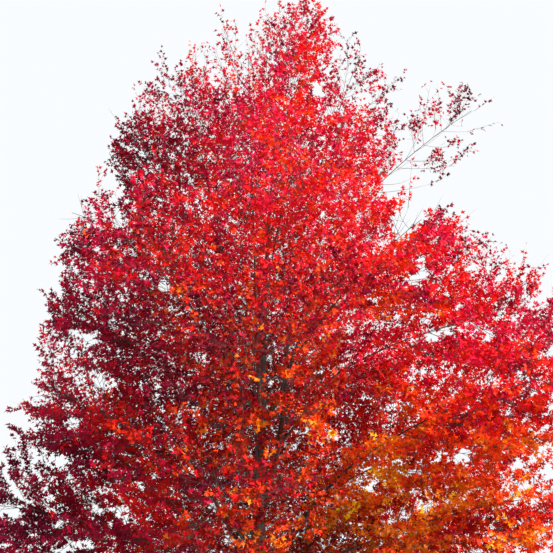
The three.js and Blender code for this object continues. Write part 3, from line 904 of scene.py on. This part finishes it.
def painted_light_layers(points):
    """Painted light and shade: lighter and darker layers, above and below 0, that rise outward as
    the sprays do.
    """
    x, y, z = points.T
    reach, turn = np.hypot(x, y), np.arctan2(y, x)
    slope = np.radians(LAYER_SLOPE[0] + LAYER_SLOPE[1] * ramp(z, *LAYER_HEIGHTS))
    across = z * np.cos(slope) - reach * np.sin(slope)
    along = z * np.sin(slope) + reach * np.cos(slope)
    total = 0
    for light_layer in LAYERS:
        wander = light_layer["wander"] * np.sin(light_layer["turns"] * turn + light_layer["climb"] * along)
        wave = np.sin(light_layer["waves"] * across + wander + light_layer["start"])
        total = total + light_layer["share"] * wave
    return total * (1 + ramp(z, *STRONG_HEIGHTS) * (STRONGER - ramp(x, *CALM_LEFT)))


def add_object(name, data):
    thing = bpy.data.objects.new(name, data)
    bpy.context.scene.collection.objects.link(thing)
    return thing


# Materials
# Bark colours: partly the bark's own grey-brown, partly painted shade, which makes them near black
BARK = dict(dark=(0.018, 0.012, 0.010), light=(0.095, 0.070, 0.060), relief=0.006)
TWIG_BARK = dict(dark=(0.030, 0.015, 0.014), light=(0.085, 0.048, 0.044), relief=0.001)
BARK_LOOK = {"Roughness": 0.85}
BARK_STRETCH = (18, 18, 3.5)  # the grain is fine across and long up the limb
BARK_GRAIN = {"Scale": 1.6, "Detail": 9, "Roughness": 0.62}
FURROW_AND_RIDGE = (0.36, 0.66)  # the grain's values that are quite dark and quite light
BARK_BUMP = 0.55


def set_inputs(node, values):
    for name, value in values.items():
        node.inputs[name].default_value = value


def material_of(name, color, look):
    material = bpy.data.materials.new(name)
    material.use_nodes = True
    shader = material.node_tree.nodes["Principled BSDF"]
    set_inputs(shader, {"Base Color": (*color, 1), **look})
    return material


def bark_material(name, dark, light, relief):
    """Ridged bark: dark furrows and lighter ridges, drawn out along the height."""
    material = material_of(name, light, BARK_LOOK)
    nodes, links = material.node_tree.nodes, material.node_tree.links
    shader = nodes["Principled BSDF"]
    place = nodes.new("ShaderNodeTexCoord")
    stretch = nodes.new("ShaderNodeMapping")
    set_inputs(stretch, {"Scale": BARK_STRETCH})
    noise = nodes.new("ShaderNodeTexNoise")
    set_inputs(noise, BARK_GRAIN)
    colors = nodes.new("ShaderNodeValToRGB")
    stops = zip(colors.color_ramp.elements, FURROW_AND_RIDGE, (dark, light))
    for stop, position, color in stops:
        stop.position = position
        stop.color = (*color, 1)
    bump = nodes.new("ShaderNodeBump")
    set_inputs(bump, {"Strength": BARK_BUMP, "Distance": relief})
    links.new(place.outputs["Object"], stretch.inputs["Vector"])
    links.new(stretch.outputs["Vector"], noise.inputs["Vector"])
    links.new(noise.outputs["Fac"], colors.inputs["Fac"])
    links.new(noise.outputs["Fac"], bump.inputs["Height"])
    links.new(colors.outputs["Color"], shader.inputs["Base Color"])
    links.new(bump.outputs["Normal"], shader.inputs["Normal"])
    return material


# Pieces
TRUNK_TUBE = dict(rings=100, sides=64, relief=0.007, axis=UP, ease=1.25)
LIMB_TUBES = dict(leader=dict(rings=44, sides=16, relief=0.0026),
                  bough=dict(rings=22, sides=10, relief=0.0012))
STEM_TUBE = dict(rings=12, sides=7, relief=0.0004)
BRANCH_TUBE = dict(sides=4, steps=4)
BENT_TUBE = dict(sides=3, steps=2)
THIN_TUBE = dict(sides=3, steps=1)

# Bark relief. A shake's rows: how strong it is, its waves by height and round the limb, and
# whether it differs from limb to limb
RIDGES = 9
RIDGE_SWAY = 0.35
RIDGE_WANDER = ((0.55, 2.1, 0, 1), (0.3, 5.3, 2, 1))
RIDGE_SHAKE = ((1.3, 3.7, 3, 0),)
BREAKS = 11
BREAK_SHAKE = ((2.6, 0, 2, 1), (1.7, 3.1, 0, 0))
FURROW_WIDTH, FURROW_SLOPE = 1.25, 1.5
BREAK_DEPTH, BREAK_SLOPE = 0.45, 3


def add_piece(name, vertices, triangles, material, slot, nodes, smooth=False):
    mesh = bpy.data.meshes.new(name)
    mesh.vertices.add(len(vertices))
    mesh.vertices.foreach_set("co", np.asarray(vertices, np.float32).ravel())
    mesh.loops.add(triangles.size)
    mesh.loops.foreach_set("vertex_index", triangles.astype(np.int32).ravel())
    mesh.polygons.add(len(triangles))
    mesh.polygons.foreach_set("loop_start", np.arange(0, triangles.size, 3, dtype=np.int32))
    mesh.polygons.foreach_set("use_smooth", np.full(len(triangles), smooth))
    mesh.update(calc_edges=True)
    mesh.materials.append(material)
    piece = add_object(name, mesh)
    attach(piece, "root")
    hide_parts(*nodes)


def join(parts):
    """Several vertex and triangle arrays as one."""
    offsets = np.cumsum([0] + [len(v) for v, _ in parts[:-1]])
    vertices = np.concatenate([v for v, _ in parts])
    return vertices, np.concatenate([t + offset for (_, t), offset in zip(parts, offsets)])


def bark_tube(limb, rings, sides, relief, axis=None, ease=1.0, seed=0.0):
    """A closed tube round a limb, its rings square to the limb or to a given axis."""
    t = np.linspace(0, 1, rings) ** ease
    centre = bezier(limb.controls, t)
    along = bezier_tangent(limb.controls, t) if axis is None else np.tile(axis, (rings, 1))
    side = EAST if axis is not None else abreast(limb.azimuth)
    across = unit(side - along * (along @ side)[:, None])
    other = np.cross(across, along)
    angle = np.linspace(0, 2 * math.pi, sides, endpoint=False)
    steps = np.linalg.norm(np.diff(centre, axis=0), axis=1)
    height = np.concatenate([[0], steps.cumsum()])
    radius = limb.radius(t[:, None], angle[None])
    radius = radius - relief * furrows(angle[None], height[:, None], seed)
    ring = across[:, None] * np.cos(angle)[None, :, None]
    ring = ring + other[:, None] * np.sin(angle)[None, :, None]
    vertices = centre[:, None] + ring * radius[:, :, None]
    column = np.arange(sides)
    after = (column + 1) % sides
    row = np.arange(rings - 1)[:, None] * sides
    a, b = row + column, row + after
    c, d = b + sides, a + sides
    triangles = np.stack([a, c, b, a, d, c], axis=-1).reshape(-1, 3)
    top = (rings - 1) * sides
    middle = np.full(sides, rings * sides)
    foot_cap = np.stack([middle, column, after], axis=1)
    top_cap = np.stack([middle + 1, after + top, column + top], axis=1)
    vertices = np.concatenate([vertices.reshape(-1, 3), centre[[0, -1]]])
    return vertices, np.concatenate([triangles, foot_cap, top_cap])


def shaken(rows, angle, height, seed):
    return sum(a * np.sin(b * height + c * angle + d * seed) for a, b, c, d in rows)


def furrows(angle, height, seed):
    """0 on a ridge of the bark and 1 in a furrow: upright ridges that wander and break."""
    ridge = RIDGES * (angle + RIDGE_SWAY * shaken(RIDGE_WANDER, angle, height, seed))
    ridge = np.abs(np.sin(ridge + shaken(RIDGE_SHAKE, angle, height, seed)))
    broken = np.abs(np.sin(BREAKS * height + shaken(BREAK_SHAKE, angle, height, seed)))
    furrow = np.clip(FURROW_WIDTH - FURROW_SLOPE * ridge, 0, 1)
    return furrow + BREAK_DEPTH * np.clip(1 - BREAK_SLOPE * broken, 0, 1)


# What stays of the shoots and leaves that could grow
def shown(shoots, beads, rng, fade=EDGE_FADE):
    """Which shoots stay: those clear of the limbs, where the photograph shows foliage."""
    pixels = pixel_of(place_on(shoots, SHOWN_PLACE))
    chance = rng.uniform(0, 1, len(pixels))
    inside = beyond_edge(pixels) < chance * fade - EDGE_INSET
    free = room_at(beads, shoots.stop) > LIMB_CLEARANCE
    kept = (in_gap(pixels) < chance) & inside & free & in_box(shoots.stop)
    return choose(shoots, kept)


def leafy(shoots, first, last, is_twig):
    """The shoots with the two places that their leaves stand between."""
    count = len(shoots.mass)
    rows = dict(first=np.broadcast_to(first, count), last=np.broadcast_to(last, count),
                is_twig=np.full(count, is_twig))
    return SimpleNamespace(**vars(shoots), **rows)


def leaves_on(shoots, beads, rng):
    """Leaves along the shoots, each spray with its own hue and brightness, the brightness painted
    light and shade on top of its own tone.
    """
    place = place_on(shoots, COLOR_PLACE)
    leaves = leaf_sites(shoots, rng)
    light_layer = painted_light_layers(place)
    shade = shoots.shade + rng.normal(0, LEVEL_SPECKS, len(place))
    shade = LEVEL_VARIETY * shade + PAINTED_LAYER_STRENGTH * light_layer
    hue = hue_at(place) + HUE_VARIETY * shoots.tone + HUE_DAPPLE * light_layer + HUE_OF_SHADE * shade
    hue = hue + rng.normal(0, HUE_SPECKS, len(place))
    leaves.hue = hue[leaves.shoot]
    shade = shade + GOLD_LIFT * np.maximum(hue - GOLD_FROM, 0)
    # the level that picks the lit or shaded copy: painted light and shade, with the spray's own tone
    leaves.level = (np.log(painted_light_at(place)) + shade)[leaves.shoot]
    count = len(leaves.hue)
    leaves.length = rng.uniform(*LEAF_LENGTH, count)
    outward = unit(leaves.root * (1, 1, 0) + EAST * TINY)
    scatter = rng.normal(0, FACE_SCATTER, (count, 3))
    leaves.face = unit(outward * FACE_OUTWARD + UP * FACE_UP + scatter)
    scatter = rng.normal(0, OUT_SCATTER, (count, 3))
    leaves.out = unit(leaves.out + scatter - UP * OUT_DROOP)
    tip = leaves.root + leaves.out * leaves.length[:, None]
    chance = rng.uniform(0, 1, (2, count))
    thin = np.maximum(spots(pixel_of(tip), THIN_SPOTS, THIN_SOFT), in_window(tip)) > chance[0]
    bare = chance[1] > INSIDE_LEAVES + (1 - INSIDE_LEAVES) * outerness(tip)
    fits = (room_at(beads, tip) > LIMB_CLEARANCE) & in_box(tip)
    return choose(leaves, fits & ~thin & ~bare)


def crowding(places, cell):
    """How many share the square or cube that each one lies in."""
    cells = np.floor(places / cell).astype(int)
    _, which, counts = np.unique(cells, axis=0, return_inverse=True, return_counts=True)
    return counts[which.ravel()]


def thinned(leaves, count, rng):
    """About as many leaves as asked for: most stay where they are few, and sprays go whole."""
    front = crowding(pixel_of(leaves.root), FRONT_CELL)
    side = crowding(leaves.root[:, 1:], SIDE_CELL)
    near = crowding(leaves.root, SPACE_CELL)
    even = front ** FRONT_POWER * side ** SIDE_POWER * near ** SPACE_POWER
    fuller = with_zones(1, leaves.root, FULLER_ZONES)
    sparse = fuller * (1 + OPEN_DAPPLE * painted_light_layers(leaves.root)) / even
    share = count / sparse.sum()
    for _ in range(THINNING_ROUNDS):
        share *= count / np.minimum(share * sparse, 1).sum()
    chance = np.minimum(share * sparse, 1)
    sprays = np.bincount(leaves.shoot)
    spray_chance = np.bincount(leaves.shoot, chance) / np.maximum(sprays, 1)
    spray_stays = rng.uniform(0, 1, len(sprays)) < spray_chance ** SPRAY_PART
    leaf_stays = rng.uniform(0, 1, len(chance)) < chance ** (1 - SPRAY_PART)
    return choose(leaves, spray_stays[leaves.shoot] & leaf_stays)


def outerness(points):
    """0 deep inside the crown, where few leaves grow, to 1 towards its edge."""
    reach = np.interp(points[:, 2], *CROWN_REACH)
    return ramp(np.hypot(points[:, 0], points[:, 1]) / reach, *OUTER_REACH)


def in_box(points):
    low, high = np.array(cad_box[0]) - BOX_MARGIN, np.array(cad_box[1]) + BOX_MARGIN
    return ((points > low) & (points < high)).all(axis=1)


# The bark of the limbs
bark = bark_material("bark", **BARK)
add_piece("trunk_bark", *bark_tube(trunk, **TRUNK_TUBE), bark, "bark", ["trunk"], smooth=True)
for kind, tube in LIMB_TUBES.items():
    alike = [limb for limb in limbs if limb.kind == kind]
    tubes = join([bark_tube(limb, **tube, seed=limb.number) for limb in alike])
    nodes = [f"{kind}_{limb.name}" for limb in alike]
    add_piece(f"{kind}_bark", *tubes, bark, "bark", nodes, smooth=True)

# Growth
rng = np.random.default_rng(SEED)
spaces = make_spaces(limbs)
beads = limb_beads()
stems = make_stems(limbs)
branches = grow_branches(limbs, stems, spaces, beads, rng)
branchlets = shown(side_shoots(branches, spaces, BRANCHLETS, rng), beads, rng)
twigs = shown(side_shoots(branchlets, spaces, TWIGS, rng), beads, rng)
tips = shown(tip_shoots(branches, rng), beads, rng, fade=TIP_FADE)
tip_twigs = shown(side_shoots(tips, spaces, TWIGS, rng, bounded=False), beads, rng)
inner = shown(inner_shoots(limbs, rng), beads, rng)
inner_sides = side_shoots(inner, spaces, INNER_BRANCHLETS, rng, bounded=False)
inner = gather(inner, shown(inner_sides, beads, rng))
inner_twigs = shown(side_shoots(inner, spaces, TWIGS, rng, bounded=False), beads, rng)
tip_leaves_to = rng.uniform(*TIP_LEAVES_TO, len(tips.mass))
bearers = gather(
    leafy(gather(twigs, inner_twigs, tip_twigs), TWIG_LEAVES_FROM, 1, True),
    leafy(gather(branchlets, inner), BRANCHLET_LEAVES_FROM, 1, False),
    leafy(tips, TIP_LEAVES_FROM, tip_leaves_to, False),
)
leaves = thinned(leaves_on(bearers, beads, rng), LEAF_COUNT, rng)

# The wood in the masses
twig_bark = bark_material("twig_bark", **TWIG_BARK)
mass_nodes = [f"mass_{limb.name}" for limb in limbs]
stem_limbs = [
    SimpleNamespace(controls=stem, azimuth=limb.azimuth,
                    radius=limb_radius(limb.tip * STEM_SHARE, STEM_TIP_RADIUS, 0))
    for limb, stem in zip(limbs, stems)
]
fine = gather(branchlets, inner, tips)
is_long = fine.length > BENT_LENGTH
wood = join([
    *(bark_tube(stem, **STEM_TUBE) for stem in stem_limbs),
    shoot_mesh(branches, **BRANCH_TUBE),
    shoot_mesh(choose(fine, is_long), **BENT_TUBE),
    shoot_mesh(choose(fine, ~is_long), **THIN_TUBE),
])
add_piece("branches", *wood, twig_bark, "bark", mass_nodes)
bearing = np.isin(np.arange(len(bearers.mass)), leaves.shoot)
bearing = bearing | (rng.uniform(0, 1, len(bearing)) < BARE_TWIGS)
leafy_twigs = shoot_mesh(choose(bearers, bearers.is_twig & bearing), **THIN_TUBE)
add_piece("twigs", *leafy_twigs, twig_bark, "bark", mass_nodes)

# The leaves, a piece for each tint: each hue in lit and shaded copies, for painted light and shade
templates = [leaf_template(THREE_LOBES), leaf_template(FIVE_LOBES)]
five_lobed = rng.uniform(0, 1, len(leaves.hue)) < FIVE_LOBED
shades = np.log(list(PAINTED_LIGHT_AND_TONE_LEVELS.values()))
level = np.digitize(leaves.level, (shades[1:] + shades[:-1]) / 2)
hue = np.clip(np.round(leaves.hue), 0, len(HUES) - 1).astype(int)
for i, (hue_name, color) in enumerate(HUES.items()):
    for j, (level_name, share) in enumerate(PAINTED_LIGHT_AND_TONE_LEVELS.items()):
        chosen = np.flatnonzero((hue == i) & (level == j))
        if len(chosen) == 0:
            continue
        name = f"leaves_{hue_name}_{level_name}"
        paint = material_of(name, [share * part for part in color], LEAF_LOOK)
        meshes = [leaf_mesh(choose(leaves, chosen[five_lobed[chosen] == lobes]), template)
                  for lobes, template in enumerate(templates)]
        slot = SLOTS[SLOTS_BY_LEVEL[hue_name][j]]
        add_piece(name, *join(meshes), paint, slot, mass_nodes)


# Floor, light and camera
FLOOR = 200  # metres to each side
FLOOR_COLOR = (0.235, 0.24, 0.245)
FLOOR_LOOK = {"Roughness": 0.9}
SUN_AZIMUTH, SUN_ELEVATION = -24, 46
SUN_ENERGY = 11.5
SUN_SOFTNESS = 10  # degrees
SUN_COLOR = (1.0, 0.95, 0.88)
SKY_COLOR = (0.865, 0.885, 0.905)
SKY_STRENGTH = 1.1
SENSOR = 36  # millimetres

floor_mesh = bpy.data.meshes.new("floor")
corners = [(-FLOOR, -FLOOR, 0), (FLOOR, -FLOOR, 0), (FLOOR, FLOOR, 0), (-FLOOR, FLOOR, 0)]
floor_mesh.from_pydata(corners, [], [(0, 1, 2, 3)])
floor_mesh.materials.append(material_of("floor", FLOOR_COLOR, FLOOR_LOOK))
floor = add_object("floor", floor_mesh)

sun = bpy.data.lights.new("key", "SUN")
sun.energy = SUN_ENERGY
sun.angle = math.radians(SUN_SOFTNESS)
sun.color = SUN_COLOR
lamp = add_object("key", sun)
lamp.rotation_euler = (math.radians(90 - SUN_ELEVATION), 0, math.radians(SUN_AZIMUTH + 90))

sky = bpy.data.worlds.new("sky")
sky.use_nodes = True
background = {"Color": (*SKY_COLOR, 1), "Strength": SKY_STRENGTH}
set_inputs(sky.node_tree.nodes["Background"], background)
bpy.context.scene.world = sky

camera = bpy.data.cameras.new("camera")
camera.sensor_width = SENSOR
camera.lens = SENSOR * FOCAL / IMAGE
eye = add_object("camera", camera)
eye.location = CAMERA_PLACE
eye.rotation_euler = (math.radians(90) + CAMERA_TILT, 0, 0)
bpy.context.scene.camera = eye
bpy.context.scene.view_settings.view_transform = "Standard"
